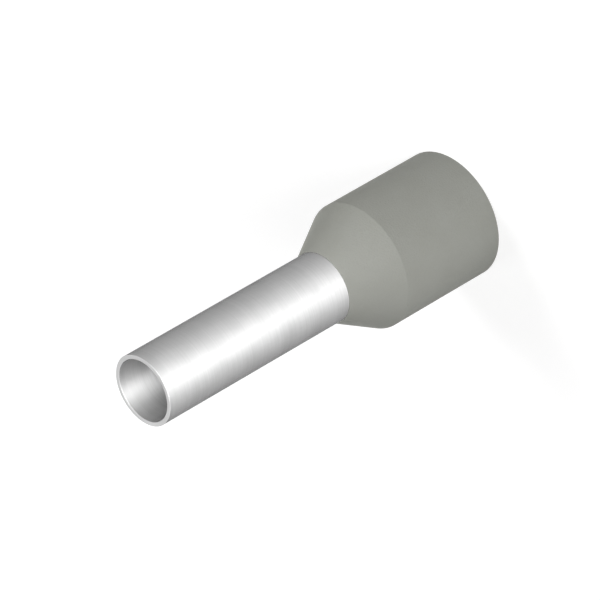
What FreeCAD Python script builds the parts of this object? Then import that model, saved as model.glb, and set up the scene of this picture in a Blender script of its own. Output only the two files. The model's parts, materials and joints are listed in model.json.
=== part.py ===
import FreeCAD, Part
import math
import os

# An insulated wire ferrule: a thin drawn copper sleeve, tin plated, and a moulded
# insulating collar that grips it. It stands on the collar's open mouth. The axis is +Z.
# Z = 0 is the mouth, where the wire goes in, and the sleeve's open tip is at the top.
# All sizes are in millimetres.

# Sleeve
conductor_bore = 2.2      # inside diameter, for 2.5 square millimetres of strands
sleeve_wall = 0.15        # the tube's wall
bare_length = 8.0         # how far the sleeve stands out of the collar
flare_reach = 0.35        # how far the funnel's rim stands out past the sleeve's side
bend_radius = 0.3         # on the sleeve's outside, where the funnel starts
cut_edge_round = 0.015    # what tumbling leaves on the tube's cut edges

# Collar
collar_length = 6.0       # from the mouth to the nose
barrel_length = 4.27      # from the mouth to the shoulder, where the taper starts
wire_bore = 4.0           # inside diameter, for the wire's own insulation
barrel_wall = 0.25        # wall round the wire's insulation
taper_wall = 0.3          # wall of the taper, measured square to its surface
neck_clearance = 0.005    # between the sleeve and the neck round it
nose_land = 0.025         # flat ring at the nose, beside the sleeve
mouth_lead_in = 0.1       # chamfer that guides the wire into the mouth
mouth_round = 0.02        # outer edge of the mouth
shoulder_round = 0.1      # outer edge where the taper starts
core_round = 0.2          # inside, where the wire bore meets the funnel
nose_round = 0.02         # outer edge of the nose

# Radii and heights that follow from them
bore_radius = conductor_bore / 2
sleeve_radius = bore_radius + sleeve_wall
tip_height = collar_length + bare_length
wire_bore_radius = wire_bore / 2
barrel_radius = wire_bore_radius + barrel_wall
neck_radius = sleeve_radius + neck_clearance
nose_radius = neck_radius + nose_land
taper_height = collar_length - barrel_length
taper_angle = math.atan2(barrel_radius - nose_radius, taper_height)


def seat_height(radius):
    """Height at which the collar's inner taper, the sleeve's seat, has this radius."""
    seat_radius_at_shoulder = barrel_radius - taper_wall / math.cos(taper_angle)
    return barrel_length + (seat_radius_at_shoulder - radius) / math.tan(taper_angle)


def line(start, end):
    """The straight edge between two points, or none where they coincide."""
    if start.isEqual(end, 1e-6):
        return []
    return [Part.LineSegment(start, end).toShape()]


def outline(corners):
    """A closed wire beside the axis, through corners of (radius, height, rounding)."""
    points = [FreeCAD.Vector(radius, 0, height) for radius, height, rounding in corners]
    starts = []
    ends = []
    arcs = []
    for index, corner in enumerate(points):
        rounding = corners[index][2]
        back = (points[index - 1] - corner).normalize()
        ahead = (points[(index + 1) % len(points)] - corner).normalize()
        half_angle = back.getAngle(ahead) / 2
        tangent_length = rounding / math.tan(half_angle)
        starts.append(corner + back * tangent_length)
        ends.append(corner + ahead * tangent_length)
        if rounding:
            inwards = (back + ahead).normalize()
            middle = corner + inwards * (rounding / math.sin(half_angle) - rounding)
            arcs.append([Part.Arc(starts[-1], middle, ends[-1]).toShape()])
        else:
            arcs.append([])
    edges = []
    for index, arc in enumerate(arcs):
        edges += arc
        edges += line(ends[index], starts[(index + 1) % len(starts)])
    return Part.Wire(edges)


def turned(corners):
    """The solid that the outline sweeps round the axis."""
    face = Part.Face(outline(corners))
    return face.revolve(FreeCAD.Vector(0, 0, 0), FreeCAD.Vector(0, 0, 1), 360)


def make_sleeve():
    """Drawn tube, its lower end opened into a funnel that lies on the collar's seat."""
    bend_height = seat_height(sleeve_radius)
    inner_bend_height = bend_height - sleeve_wall * math.tan(taper_angle / 2)
    rim_radius = sleeve_radius + flare_reach
    rim_height = seat_height(rim_radius)
    # the rim is cut square to the funnel's wall
    rim_inner_radius = rim_radius - sleeve_wall * math.cos(taper_angle)
    rim_inner_height = rim_height - sleeve_wall * math.sin(taper_angle)
    return turned([
        (bore_radius, tip_height, cut_edge_round),
        (bore_radius, inner_bend_height, bend_radius + sleeve_wall),
        (rim_inner_radius, rim_inner_height, cut_edge_round),
        (rim_radius, rim_height, cut_edge_round),
        (sleeve_radius, bend_height, bend_radius),
        (sleeve_radius, tip_height, cut_edge_round),
    ])


def make_collar():
    """Moulded barrel, taper and neck. The neck's bore and seat take the sleeve's form."""
    return turned([
        (wire_bore_radius + mouth_lead_in, 0, 0),
        (barrel_radius, 0, mouth_round),
        (barrel_radius, barrel_length, shoulder_round),
        (nose_radius, collar_length, nose_round),
        (neck_radius, collar_length, 0),
        (neck_radius, seat_height(neck_radius), bend_radius),
        (wire_bore_radius, seat_height(wire_bore_radius), core_round),
        (wire_bore_radius, mouth_lead_in, 0),
    ])


os.makedirs("parts", exist_ok=True)
for name, solid in {"sleeve": make_sleeve(), "collar": make_collar()}.items():
    solid.exportStep("parts/" + name + ".step")
    box = solid.optimalBoundingBox()
    print(
        f"{name}: volume {solid.Volume:.3f} mm3, valid {solid.isValid()},"
        f" Z {box.ZMin:.3f} to {box.ZMax:.3f} mm, diameter {box.XLength:.3f} mm"
    )
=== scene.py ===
# %% [markdown]
# # A wire ferrule in its studio
#
# A wire ferrule is the little end sleeve that is crimped on a stranded wire before it goes
# into a terminal. This one has two pieces: a thin copper tube with a coat of tin, and a
# grey plastic collar that takes the wire's insulation. It is 14 mm long, and it stands on
# the collar's open mouth.
#
# The lesson starts from a finished model of the construction, the frame, which is only
# loaded and never changed. What Blender adds here is the look: smooth turned surfaces, the
# two finishes, and a small white studio round them.

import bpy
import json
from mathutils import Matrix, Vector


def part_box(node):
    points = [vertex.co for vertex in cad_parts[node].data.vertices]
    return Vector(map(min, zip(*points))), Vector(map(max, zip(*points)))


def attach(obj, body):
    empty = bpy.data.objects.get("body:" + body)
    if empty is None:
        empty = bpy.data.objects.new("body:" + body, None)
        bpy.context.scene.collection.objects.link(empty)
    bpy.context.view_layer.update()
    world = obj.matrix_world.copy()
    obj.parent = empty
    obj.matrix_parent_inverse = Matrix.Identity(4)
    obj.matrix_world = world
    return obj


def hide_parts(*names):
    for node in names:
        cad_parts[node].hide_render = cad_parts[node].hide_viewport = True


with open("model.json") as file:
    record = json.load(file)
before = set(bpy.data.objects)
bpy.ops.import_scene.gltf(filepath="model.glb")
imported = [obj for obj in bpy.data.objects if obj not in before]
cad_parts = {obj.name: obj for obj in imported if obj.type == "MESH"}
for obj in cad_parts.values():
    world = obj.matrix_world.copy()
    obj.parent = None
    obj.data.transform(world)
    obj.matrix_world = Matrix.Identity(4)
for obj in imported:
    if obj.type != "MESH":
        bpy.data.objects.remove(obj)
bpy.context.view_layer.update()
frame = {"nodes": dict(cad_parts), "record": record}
print("nodes in the frame:", ", ".join(sorted(frame["nodes"])))

# %% [markdown]
# ## The unit
#
# Blender counts in metres, and so does the frame. A ferrule's real sizes are easier to read
# in millimetres, so each length below is a number of them times MM.

# %% Import the rest and set the unit
import json
import math

import bmesh
import bpy
from mathutils import Matrix, Vector

MM = 0.001

# %% [markdown]
# ## The camera
#
# The camera looks down on the standing ferrule by about 35 degrees, with a long lens from
# 16 cm away, so lines that are parallel stay nearly parallel. It is also rolled by 120
# degrees, which lays the ferrule across the picture with its tip at the lower left. A
# second way would be to lay the object down, but it stands when it rests, so the camera
# turns instead. The camera is placed by its elevation, its roll and its distance, which can
# be read off and changed one by one.

# %% Aim the camera
CAMERA_ELEVATION = math.radians(35.14)
CAMERA_ROLL = math.radians(-120)
CAMERA_DISTANCE = 163.6 * MM
CAMERA_LENS = 302.6              # millimetres of focal length, on a sensor 36 mm wide
AIM_HEIGHT = 6.25 * MM           # the height on the axis that it looks at
AIM_RIGHT = -0.533 * MM          # small steps aside, to place the ferrule in the picture
AIM_UP = -0.303 * MM

tilt = Matrix.Rotation(math.pi / 2 - CAMERA_ELEVATION, 4, "X")
turn = tilt @ Matrix.Rotation(CAMERA_ROLL, 4, "Z")
stand_off = turn @ Vector((AIM_RIGHT, AIM_UP, CAMERA_DISTANCE))

camera = bpy.data.objects.new("camera", bpy.data.cameras.new("camera"))
camera.data.lens = CAMERA_LENS
# nothing nearer than the first or further than the second is drawn
camera.data.clip_start = CAMERA_DISTANCE / 10
camera.data.clip_end = CAMERA_DISTANCE * 20
camera.matrix_world = Matrix.Translation(Vector((0, 0, AIM_HEIGHT)) + stand_off) @ turn
bpy.context.scene.collection.objects.link(camera)
bpy.context.scene.camera = camera
print("the camera stands at", [round(value / MM, 1) for value in camera.location], "mm")

# %% [markdown]
# ## Sizes
#
# What the frame can tell is read from it: the two boxes give lengths and outside radii, and
# the mounts give the radii of the bores. Typed in again, those sizes could drift away from
# the construction. The rest are the real sizes of the walls, the funnel and the rounded
# edges.

# %% Read the sizes
collar_top_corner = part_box("collar")[1]
sleeve_top_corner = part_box("sleeve")[1]
mount_radius = {
    mount["name"]: mount["dims"]["r_mm"] * MM
    for mount in frame["record"]["mounts"] if "r_mm" in mount["dims"]
}
barrel_radius = collar_top_corner.x
collar_length = collar_top_corner.z
tip_height = sleeve_top_corner.z
wire_bore_radius = mount_radius["wire_entry"]
bore_radius = mount_radius["strand_bore"]
sleeve_radius = mount_radius["sleeve_outside"]

barrel_length = 4.27 * MM        # from the mouth to the shoulder, where the taper starts
taper_wall = 0.3 * MM            # measured square to the taper's surface
flare_reach = 0.35 * MM          # how far the funnel's rim stands out past the sleeve's side
neck_clearance = 0.005 * MM      # between the sleeve and the neck round it
nose_land = 0.025 * MM           # flat ring at the nose, beside the sleeve
mouth_lead_in = 0.1 * MM         # chamfer that guides the wire into the mouth

bend_radius = 0.3 * MM           # on the sleeve's outside, where the funnel starts
cut_edge_round = 0.015 * MM      # what tumbling leaves on the tube's cut edges
mouth_round = 0.02 * MM          # outer edge of the mouth
shoulder_round = 0.1 * MM        # outer edge where the taper starts
core_round = 0.2 * MM            # inside, where the wire bore meets the funnel
nose_round = 0.02 * MM           # outer edge of the nose

sleeve_wall = sleeve_radius - bore_radius
neck_radius = sleeve_radius + neck_clearance
nose_radius = neck_radius + nose_land
taper_angle = math.atan2(barrel_radius - nose_radius, collar_length - barrel_length)
print(f"barrel {2 * barrel_radius / MM:.2f} mm across, sleeve {2 * sleeve_radius / MM:.2f} mm,"
      f" taper {math.degrees(taper_angle):.1f} degrees from the axis")

# %% [markdown]
# ## Turning an outline
#
# Both pieces are round, so each is one outline swept round the axis. Blender's Screw
# modifier or a bevelled curve could sweep it too. A few lines of mesh code are chosen
# because they give even quads, true roundings at the edges, and the same mesh in an export
# as in the render. A rounded edge matters even at 0.015 mm: it is what catches the light as
# a fine bright line.

# %% Round the corners of an outline
ARC_STEP = math.radians(8)       # a rounding gets one straight piece for about each of these


def rounded(corners):
    """Points of a closed outline through corners of (radius, height, rounding)."""
    tops = [Vector((radius, height)) for radius, height, rounding in corners]
    points = []
    for index, corner in enumerate(tops):
        rounding = corners[index][2]
        back = (tops[index - 1] - corner).normalized()
        ahead = (tops[(index + 1) % len(tops)] - corner).normalized()
        half_angle = back.angle(ahead) / 2
        if not rounding:
            points.append(corner)
            continue
        centre = corner + (back + ahead).normalized() * (rounding / math.sin(half_angle))
        tangent_length = rounding / math.tan(half_angle)
        start = (corner + back * tangent_length - centre).normalized()
        end = (corner + ahead * tangent_length - centre).normalized()
        steps = max(2, round(start.angle(end) / ARC_STEP))
        for step in range(steps + 1):
            points.append(centre + start.slerp(end, step / steps) * rounding)
    return points


sample = rounded([(0, 0, 0), (1, 0, 0.1), (1, 1, 0), (0, 1, 0)])
print("a square with one corner rounded has", len(sample), "points")

# %% Sweep it round the axis
SEGMENTS = 256                   # enough for a smooth outline in a close-up


def turned(name, corners):
    """A smooth object, the rounded outline swept round the Z axis."""
    points = rounded(corners)
    mesh = bmesh.new()
    rings = []
    for segment in range(SEGMENTS):
        angle = 2 * math.pi * segment / SEGMENTS
        rings.append([
            mesh.verts.new((p.x * math.cos(angle), p.x * math.sin(angle), p.y)) for p in points
        ])
    for segment, ring in enumerate(rings):
        following = rings[(segment + 1) % SEGMENTS]
        for index in range(len(points)):
            after = (index + 1) % len(points)
            mesh.faces.new((ring[index], ring[after], following[after], following[index]))
    bmesh.ops.recalc_face_normals(mesh, faces=mesh.faces)
    for face in mesh.faces:
        face.smooth = True
    piece = bpy.data.objects.new(name, bpy.data.meshes.new(name))
    mesh.to_mesh(piece.data)
    mesh.free()
    bpy.context.scene.collection.objects.link(piece)
    # a large face keeps its own normal at full weight, so only the roundings blend
    weighted = piece.modifiers.new("even_shading", "WEIGHTED_NORMAL")
    weighted.weight = 100
    print(f"{name}: {len(points)} outline points, {len(piece.data.polygons)} faces")
    return piece


# %% [markdown]
# ## The sleeve
#
# On the real part this is drawn copper tube, cut off and opened at one end into a funnel,
# so that no strand of the wire catches on its edge. The funnel lies on a cone inside the
# collar. Its height follows from that cone, which runs parallel to the taper outside. A
# cylinder with a Solidify modifier would do for the tube, but the funnel's bend has a wall of
# even thickness too, and that is simplest in one outline.

# %% Turn the sleeve
def seat_height(radius):
    """Height at which the cone inside the collar has this radius."""
    radius_at_shoulder = barrel_radius - taper_wall / math.cos(taper_angle)
    return barrel_length + (radius_at_shoulder - radius) / math.tan(taper_angle)


bend_height = seat_height(sleeve_radius)
inner_bend_height = bend_height - sleeve_wall * math.tan(taper_angle / 2)
rim_radius = sleeve_radius + flare_reach
rim_height = seat_height(rim_radius)
# the rim is cut square to the funnel's wall
rim_inner_radius = rim_radius - sleeve_wall * math.cos(taper_angle)
rim_inner_height = rim_height - sleeve_wall * math.sin(taper_angle)
sleeve = turned("sleeve_turned", [
    (bore_radius, tip_height, cut_edge_round),
    (bore_radius, inner_bend_height, bend_radius + sleeve_wall),
    (rim_inner_radius, rim_inner_height, cut_edge_round),
    (rim_radius, rim_height, cut_edge_round),
    (sleeve_radius, bend_height, bend_radius),
    (sleeve_radius, tip_height, cut_edge_round),
])
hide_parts("sleeve")
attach(sleeve, "root")

# %% [markdown]
# ## The collar
#
# The collar is one plastic moulding: a barrel with a thin wall, a taper, and a neck that
# grips the sleeve. The mouth has a small chamfer inside, which leads the wire in. It could
# be made from a cylinder and a cone, but as one outline the wall, the inner cone and the
# roundings all join cleanly.

# %% Turn the collar
collar = turned("collar_turned", [
    (wire_bore_radius + mouth_lead_in, 0, 0),
    (barrel_radius, 0, mouth_round),
    (barrel_radius, barrel_length, shoulder_round),
    (nose_radius, collar_length, nose_round),
    (neck_radius, collar_length, 0),
    (neck_radius, seat_height(neck_radius), bend_radius),
    (wire_bore_radius, seat_height(wire_bore_radius), core_round),
    (wire_bore_radius, mouth_lead_in, 0),
])
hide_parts("collar")
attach(collar, "root")

# %% [markdown]
# ## Tools for the finishes
#
# Colours are easiest to read as the hex values of a picture, but a shader works with linear
# light, so one function turns one into the other. Another adds a node with its settings and
# links, which keeps each finish short enough to read as a recipe. Both finishes are made
# from noise, whose values gather near a half, so a narrow stretch of it is drawn out
# wherever it has to show.

# %% Colours and nodes
NOISE_LOW = 0.35                 # most of a noise's values lie between these two
NOISE_HIGH = 0.65


def linear(hex_colour):
    """Linear red, green, blue and alpha of a colour such as #9A9B95."""
    channels = [int(hex_colour[start:start + 2], 16) / 255 for start in (1, 3, 5)]
    return [
        value / 12.92 if value <= 0.04045 else ((value + 0.055) / 1.055) ** 2.4
        for value in channels
    ] + [1.0]


def add(tree, kind, values=(), links=(), **settings):
    """Adds a node. Values and links are pairs of a socket and what goes into it."""
    node = tree.nodes.new(kind)
    for name, setting in settings.items():
        setattr(node, name, setting)
    for socket, value in values:
        node.inputs[socket].default_value = value
    for socket, source in links:
        tree.links.new(source, node.inputs[socket])
    return node


def new_finish(name):
    """A material with no nodes, its tree, and where points lie on the object."""
    material = bpy.data.materials.new(name)
    material.use_nodes = True
    material.node_tree.nodes.clear()
    place = add(material.node_tree, "ShaderNodeTexCoord").outputs["Object"]
    return material, material.node_tree, place


print("the grey #808080 is", round(linear("#808080")[0], 3), "in linear light")

# %% [markdown]
# ## Tin-plated copper
#
# The sleeve is cut from drawn copper tube, rolled smooth, and plated with a few micrometres
# of tin. Plated tin is a soft, pale grey metal: satin and not a mirror, with faint clouds
# where it lies thicker. The rollers leave hair-fine rings round the tube. Such rings draw a
# highlight out across themselves, so a lamp shows as a bright streak from end to end, also
# down inside the bore. A rougher metal without rings would show a short blurred spot and a
# dark bore.
#
# So the metal is fully metallic, with its tangent running round the axis and its roughness
# unequal: about 0.74 along the sleeve and 0.45 round it. Clouds and rings change the colour and
# the roughness a little, and the rings are also a small bump. Real rings are 5 to 20 micrometres
# apart. They are drawn at 45, because a pixel of the picture is 32 micrometres wide. The cut edges
# have no rings, so their roughness is equal. Their tin is painted paler than the rolled tin, as
# painted light on the flat ends. Of the shader's two forms of gloss, plain GGX is chosen: it lets
# a rough metal darken towards its outline, as this one does.

# %% Tin finish
TIN_AT_THE_EDGE = "#101010"      # plated tin darkens where it is seen at a low angle
TIN_ROUGHNESS = 0.58
TIN_ROUGHNESS_CHANGE = 0.04      # more or less, from mark to mark
TIN_UNEVENNESS = 0.70            # how much the roughness differs along and round the sleeve
QUARTER_TURN = 0.25              # from round the axis, where the tangent runs, to along it
RING_WIDTH = 0.045 * MM          # coarser than the real 5 to 20 micrometres, to show at all
RING_LENGTH = 2.5 * MM
RING_DEPTH = 0.001 * MM
RING_SHARE = 0.6                 # how much of the marks is rings, and the rest is clouds
TIN_CLOUD = 0.7 * MM


def tin_finish(name, dark, pale, unevenness):
    """Satin tin plating on copper, with fine rings round the sleeve."""
    material, tree, place = new_finish(name)
    squeezed = add(tree, "ShaderNodeVectorMath", operation="DIVIDE", links=[(0, place)], values=[
        (1, (RING_LENGTH, RING_LENGTH, RING_WIDTH)),
    ])
    rings = add(tree, "ShaderNodeTexNoise", links=[("Vector", squeezed.outputs[0])], values=[
        ("Scale", 1.0), ("Detail", 2.0), ("Roughness", 0.6),
    ])
    clouds = add(tree, "ShaderNodeTexNoise", links=[("Vector", place)], values=[
        ("Scale", 1 / TIN_CLOUD), ("Detail", 3.0), ("Roughness", 0.55),
    ])
    both = add(tree, "ShaderNodeMix", data_type="FLOAT", values=[(0, RING_SHARE)], links=[
        (2, clouds.outputs["Fac"]), (3, rings.outputs["Fac"]),
    ])
    marks = add(tree, "ShaderNodeMapRange", links=[("Value", both.outputs[0])], values=[
        ("From Min", NOISE_LOW), ("From Max", NOISE_HIGH),
    ])
    colour = add(tree, "ShaderNodeMix", data_type="RGBA", links=[(0, marks.outputs[0])], values=[
        (6, linear(dark)), (7, linear(pale)),
    ])
    roughness = add(tree, "ShaderNodeMapRange", links=[("Value", marks.outputs[0])], values=[
        ("To Min", TIN_ROUGHNESS - TIN_ROUGHNESS_CHANGE),
        ("To Max", TIN_ROUGHNESS + TIN_ROUGHNESS_CHANGE),
    ])
    bump = add(tree, "ShaderNodeBump", links=[("Height", rings.outputs["Fac"])], values=[
        ("Strength", 1.0), ("Distance", RING_DEPTH),
    ])
    round_the_axis = add(tree, "ShaderNodeTangent", direction_type="RADIAL", axis="Z")
    surface = add(tree, "ShaderNodeBsdfPrincipled", distribution="GGX", values=[
        ("Metallic", 1.0),
        ("Specular Tint", linear(TIN_AT_THE_EDGE)),
        ("Anisotropic", unevenness),
        ("Anisotropic Rotation", QUARTER_TURN),
    ], links=[
        ("Base Color", colour.outputs[2]),
        ("Roughness", roughness.outputs[0]),
        ("Normal", bump.outputs[0]),
        ("Tangent", round_the_axis.outputs[0]),
    ])
    add(tree, "ShaderNodeOutputMaterial", links=[("Surface", surface.outputs[0])])
    return material


rolled_tin = tin_finish("tin_plated_copper_rolled", "#A7A7A7", "#AFAFAF", TIN_UNEVENNESS)
# the cut edges really have no rings, but their paler colours are painted light on the flat ends
cut_tin_painted_light = tin_finish("tin_plated_copper_cut_painted_light", "#BDBDBD", "#C5C5C5", 0.0)
print("tin: rings", RING_WIDTH / MM, "mm wide, clouds", TIN_CLOUD / MM, "mm")

# %% Give each face of the sleeve its tin
LOOKS_ALONG_THE_AXIS = 0.7       # the walls' normals have a smaller Z than this, cut edges more

sleeve.data.materials.append(rolled_tin)
# the second tin, painted paler as painted light, goes on the faces that look along the axis
sleeve.data.materials.append(cut_tin_painted_light)
for face in sleeve.data.polygons:
    face.material_index = 1 if abs(face.normal.z) > LOOKS_ALONG_THE_AXIS else 0
cut_faces = sum(face.material_index for face in sleeve.data.polygons)
print(cut_faces, "of", len(sleeve.data.polygons), "faces are on the cut edges")

# %% [markdown]
# ## Moulded polypropylene
#
# The collar's plastic is polypropylene, coloured right through in a warm grey and moulded in
# a tool whose walls were spark-eroded. That leaves a fine even grain, so the plastic looks
# matt. It isn't metallic, its IOR is 1.49, and the grain is a small bump. The true grain is
# about 20 micrometres, and it is drawn at 60 so that the picture can show it. Voronoi cells
# could stand for it too, but they have hard edges, and spark erosion leaves soft pits, so
# plain noise is used. A very faint cloud in the colour stands for the way that pigment
# spreads in the melt.

# %% Plastic finish
PLASTIC_PALE = "#9FA09A"
PLASTIC_DARK = "#9B9C95"
PLASTIC_IOR = 1.49
PLASTIC_ROUGHNESS = 0.75
PLASTIC_ROUGHNESS_CHANGE = 0.06  # more or less, from grain to grain
PLASTIC_SHINE = 0.2              # 0.5 is a smooth surface, and the grain scatters some of it
GRAIN_SIZE = 0.06 * MM           # coarser than the real 20 micrometres, to show at all
GRAIN_DEPTH = 0.012 * MM
GRAIN_SHARE = 0.5                # how much of the colour's change is grain, and not clouds
PIGMENT_CLOUD = 1.2 * MM


def plastic_finish():
    """Matt moulded plastic with a fine spark-eroded grain."""
    material, tree, place = new_finish("polypropylene_moulded_matt")
    grain = add(tree, "ShaderNodeTexNoise", links=[("Vector", place)], values=[
        ("Scale", 1 / GRAIN_SIZE), ("Detail", 2.0), ("Roughness", 0.5),
    ])
    clouds = add(tree, "ShaderNodeTexNoise", links=[("Vector", place)], values=[
        ("Scale", 1 / PIGMENT_CLOUD), ("Detail", 2.0), ("Roughness", 0.5),
    ])
    both = add(tree, "ShaderNodeMix", data_type="FLOAT", values=[(0, GRAIN_SHARE)], links=[
        (2, clouds.outputs["Fac"]), (3, grain.outputs["Fac"]),
    ])
    shade = add(tree, "ShaderNodeMapRange", links=[("Value", both.outputs[0])], values=[
        ("From Min", NOISE_LOW), ("From Max", NOISE_HIGH),
    ])
    colour = add(tree, "ShaderNodeMix", data_type="RGBA", links=[(0, shade.outputs[0])], values=[
        (6, linear(PLASTIC_DARK)), (7, linear(PLASTIC_PALE)),
    ])
    roughness = add(tree, "ShaderNodeMapRange", links=[("Value", grain.outputs["Fac"])], values=[
        ("From Min", NOISE_LOW), ("From Max", NOISE_HIGH),
        ("To Min", PLASTIC_ROUGHNESS - PLASTIC_ROUGHNESS_CHANGE),
        ("To Max", PLASTIC_ROUGHNESS + PLASTIC_ROUGHNESS_CHANGE),
    ])
    bump = add(tree, "ShaderNodeBump", links=[("Height", grain.outputs["Fac"])], values=[
        ("Strength", 1.0), ("Distance", GRAIN_DEPTH),
    ])
    surface = add(tree, "ShaderNodeBsdfPrincipled", values=[
        ("Metallic", 0.0),
        ("IOR", PLASTIC_IOR),
        ("Specular IOR Level", PLASTIC_SHINE),
    ], links=[
        ("Base Color", colour.outputs[2]),
        ("Roughness", roughness.outputs[0]),
        ("Normal", bump.outputs[0]),
    ])
    add(tree, "ShaderNodeOutputMaterial", links=[("Surface", surface.outputs[0])])
    return material


collar.data.materials.append(plastic_finish())
print("plastic: grain", GRAIN_SIZE / MM, "mm, IOR", PLASTIC_IOR)

# %% [markdown]
# ## The studio
#
# The picture's background is plain white. The floor is a sheet of pale matt paper, which
# shows no highlight. It and the world get a white glow that only the camera, reflections and
# rays through glass can see, so the metal mirrors the same white. The glow puts no light on
# the object. Where the object shades the floor, the floor's own lit part is missing, and a
# soft shadow stays.
#
# The lamps stand close, so their light on the floor fades further out. The glow grows there
# as much, or a low view would show a grey horizon. Little light gets down the bore, so the
# glow is weak inside the ferrule. A curved sheet behind the object is the usual way to a
# white background, but it works from one side only, and this ferrule is seen from all.

# %% World
SKY_LEVEL = 0.15                 # how bright the world is as a light
WHITE = "#FFFFFF"


def seen_as_background(tree):
    """1 for a ray from the camera, a mirror or glass, and 0 for a ray that carries light."""
    path = add(tree, "ShaderNodeLightPath")
    some = add(tree, "ShaderNodeMath", operation="ADD", links=[
        (0, path.outputs["Is Camera Ray"]), (1, path.outputs["Is Glossy Ray"]),
    ])
    return add(tree, "ShaderNodeMath", operation="ADD", use_clamp=True, links=[
        (0, some.outputs[0]), (1, path.outputs["Is Transmission Ray"]),
    ]).outputs[0]


world = bpy.data.worlds.new("white_studio")
world.use_nodes = True
world.node_tree.nodes.clear()
sky = add(world.node_tree, "ShaderNodeBackground", values=[
    ("Color", linear(WHITE)), ("Strength", SKY_LEVEL),
])
white = add(world.node_tree, "ShaderNodeBackground", values=[
    ("Color", linear(WHITE)), ("Strength", 1.0),
])
mixed = add(world.node_tree, "ShaderNodeMixShader", links=[
    (0, seen_as_background(world.node_tree)), (1, sky.outputs[0]), (2, white.outputs[0]),
])
add(world.node_tree, "ShaderNodeOutputWorld", links=[("Surface", mixed.outputs[0])])
bpy.context.scene.world = world
print("world: white to the camera, and a light of", SKY_LEVEL)

# %% Floor
FLOOR_SIZE = 1200 * MM
FLOOR_HEIGHT = -0.001 * MM       # a hair below the mouth, so that the two flat faces don't mix
FLOOR_COLOUR = "#BCBCBC"
FLOOR_GLOW = 0.66                # what the camera sees on top of the floor's own lit colour
GLOW_GROWS_FROM = 25 * MM        # both distances are from the ferrule
GLOW_IS_WHITE_AT = 120 * MM
GLOW_INSIDE = 0.1                # the share that is left inside the ferrule, seen down the bore

floor_half = FLOOR_SIZE / 2
floor_mesh = bpy.data.meshes.new("floor")
floor_mesh.from_pydata([
    (x * floor_half, y * floor_half, FLOOR_HEIGHT) for x, y in ((-1, -1), (1, -1), (1, 1), (-1, 1))
], [], [(0, 1, 2, 3)])
floor = bpy.data.objects.new("floor", floor_mesh)
bpy.context.scene.collection.objects.link(floor)
print("floor:", FLOOR_SIZE / MM, "mm wide")

# %% The floor's paper
paper, tree, place = new_finish("pale_matt_paper")
matt = add(tree, "ShaderNodeBsdfDiffuse", values=[("Color", linear(FLOOR_COLOUR))])
away = add(tree, "ShaderNodeVectorMath", operation="LENGTH", links=[(0, place)])
level = add(tree, "ShaderNodeMapRange", links=[("Value", away.outputs["Value"])], values=[
    ("From Min", GLOW_GROWS_FROM), ("From Max", GLOW_IS_WHITE_AT),
    ("To Min", FLOOR_GLOW), ("To Max", 1.0),
])
in_the_open = add(tree, "ShaderNodeMapRange", links=[("Value", away.outputs["Value"])], values=[
    ("From Min", wire_bore_radius), ("From Max", barrel_radius), ("To Min", GLOW_INSIDE),
])
outside = add(tree, "ShaderNodeMath", operation="MULTIPLY", links=[
    (0, level.outputs[0]), (1, in_the_open.outputs[0]),
])
strength = add(tree, "ShaderNodeMath", operation="MULTIPLY", links=[
    (0, seen_as_background(tree)), (1, outside.outputs[0]),
])
glow = add(tree, "ShaderNodeEmission", links=[("Strength", strength.outputs[0])])
lit_and_glow = add(tree, "ShaderNodeAddShader", links=[
    (0, matt.outputs[0]), (1, glow.outputs[0]),
])
add(tree, "ShaderNodeOutputMaterial", links=[("Surface", lit_and_glow.outputs[0])])
floor_mesh.materials.append(paper)
print("paper: glow", FLOOR_GLOW, "near the ferrule, and white from", GLOW_IS_WHITE_AT / MM, "mm")

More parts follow.
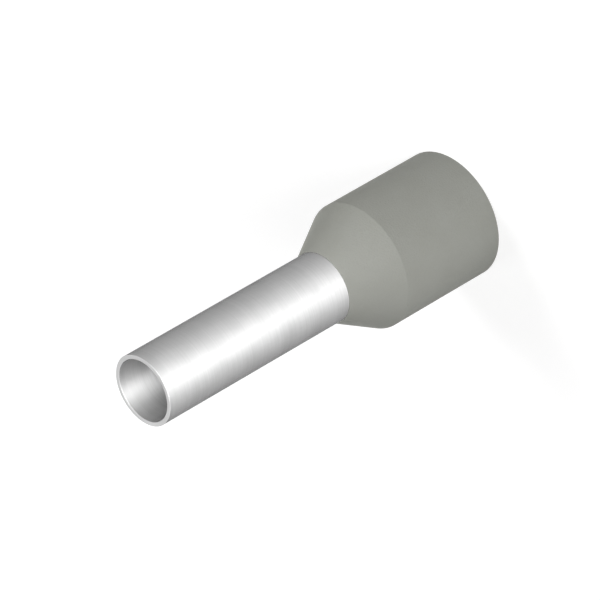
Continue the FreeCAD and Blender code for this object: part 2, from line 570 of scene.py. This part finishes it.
# %% [markdown]
# ## Lamps
#
# Soft lamps stand round the ferrule like softboxes. Each is given by where it stands and by
# its level, the brightness that a white card facing it would show. The key stands on the
# camera's side, and the fill higher and to the side, towards +X, so the collar's taper is
# brighter than its barrel. Together with the sky they light a white card to about 1, so a
# colour shows about as it is written.
#
# The streak lamp is for the metal alone: a photographer shows a shiny tube a bright panel to
# mirror, and turning off a lamp's diffuse rays does that without a change to the plastic. Two
# weaker panels beside it light the tube's flanks in the same way, so that the streak fades out
# slowly to both sides. The fill has its glossy rays turned off, or the tube would mirror it as
# a second streak. Two weak lamps do the same work on the far side, for when the ferrule is
# seen from behind.

# %% Softboxes
LAMP_DISTANCE = 150 * MM
SQUARE_BOX = (60 * MM, 60 * MM)
WIDE_BOX = (160 * MM, 40 * MM)
BROAD_BOX = (120 * MM, 60 * MM)
STRIP_BOX = (60 * MM, 12 * MM)


def softbox(name, azimuth, elevation, size, level, diffuse=True, glossy=True):
    """A lamp aimed at the middle of the ferrule. Azimuth 0 stands towards -Y."""
    lamp = bpy.data.objects.new(name, bpy.data.lights.new(name, "AREA"))
    across, up = math.radians(azimuth), math.radians(elevation)
    way = Vector((
        math.sin(across) * math.cos(up), -math.cos(across) * math.cos(up), math.sin(up),
    ))
    lamp.location = Vector((0, 0, tip_height / 2)) + way * LAMP_DISTANCE
    lamp.rotation_mode = "QUATERNION"
    lamp.rotation_quaternion = way.to_track_quat("Z", "Y")
    lamp.data.shape = "RECTANGLE"
    lamp.data.size, lamp.data.size_y = size
    # a flat lamp of this many watts lights a white card that faces it to the level
    lamp.data.energy = level * (math.pi * LAMP_DISTANCE) ** 2
    lamp.visible_camera = False
    lamp.visible_diffuse = diffuse
    lamp.visible_glossy = glossy
    bpy.context.scene.collection.objects.link(lamp)
    print(f"{name}: level {level}, {lamp.data.energy:.3f} W")


softbox("key_lamp", -17, 26, SQUARE_BOX, 0.7)
softbox("fill_lamp", 98, 47, SQUARE_BOX, 0.47, glossy=False)
softbox("streak_lamp", -15, 45, WIDE_BOX, 2.42, diffuse=False)
softbox("minus_x_flank_lamp", -60, 30, BROAD_BOX, 0.34, diffuse=False)
softbox("plus_x_flank_lamp", 40, 30, BROAD_BOX, 0.41, diffuse=False)
softbox("back_fill_lamp", 180, 13, SQUARE_BOX, 0.4, glossy=False)
softbox("back_streak_lamp", 180, 0, STRIP_BOX, 0.6, diffuse=False)

# %% [markdown]
# ## The colour view
#
# The colours are shown as they are, with the Standard view.

# %% Finish
bpy.context.scene.view_settings.view_transform = "Standard"
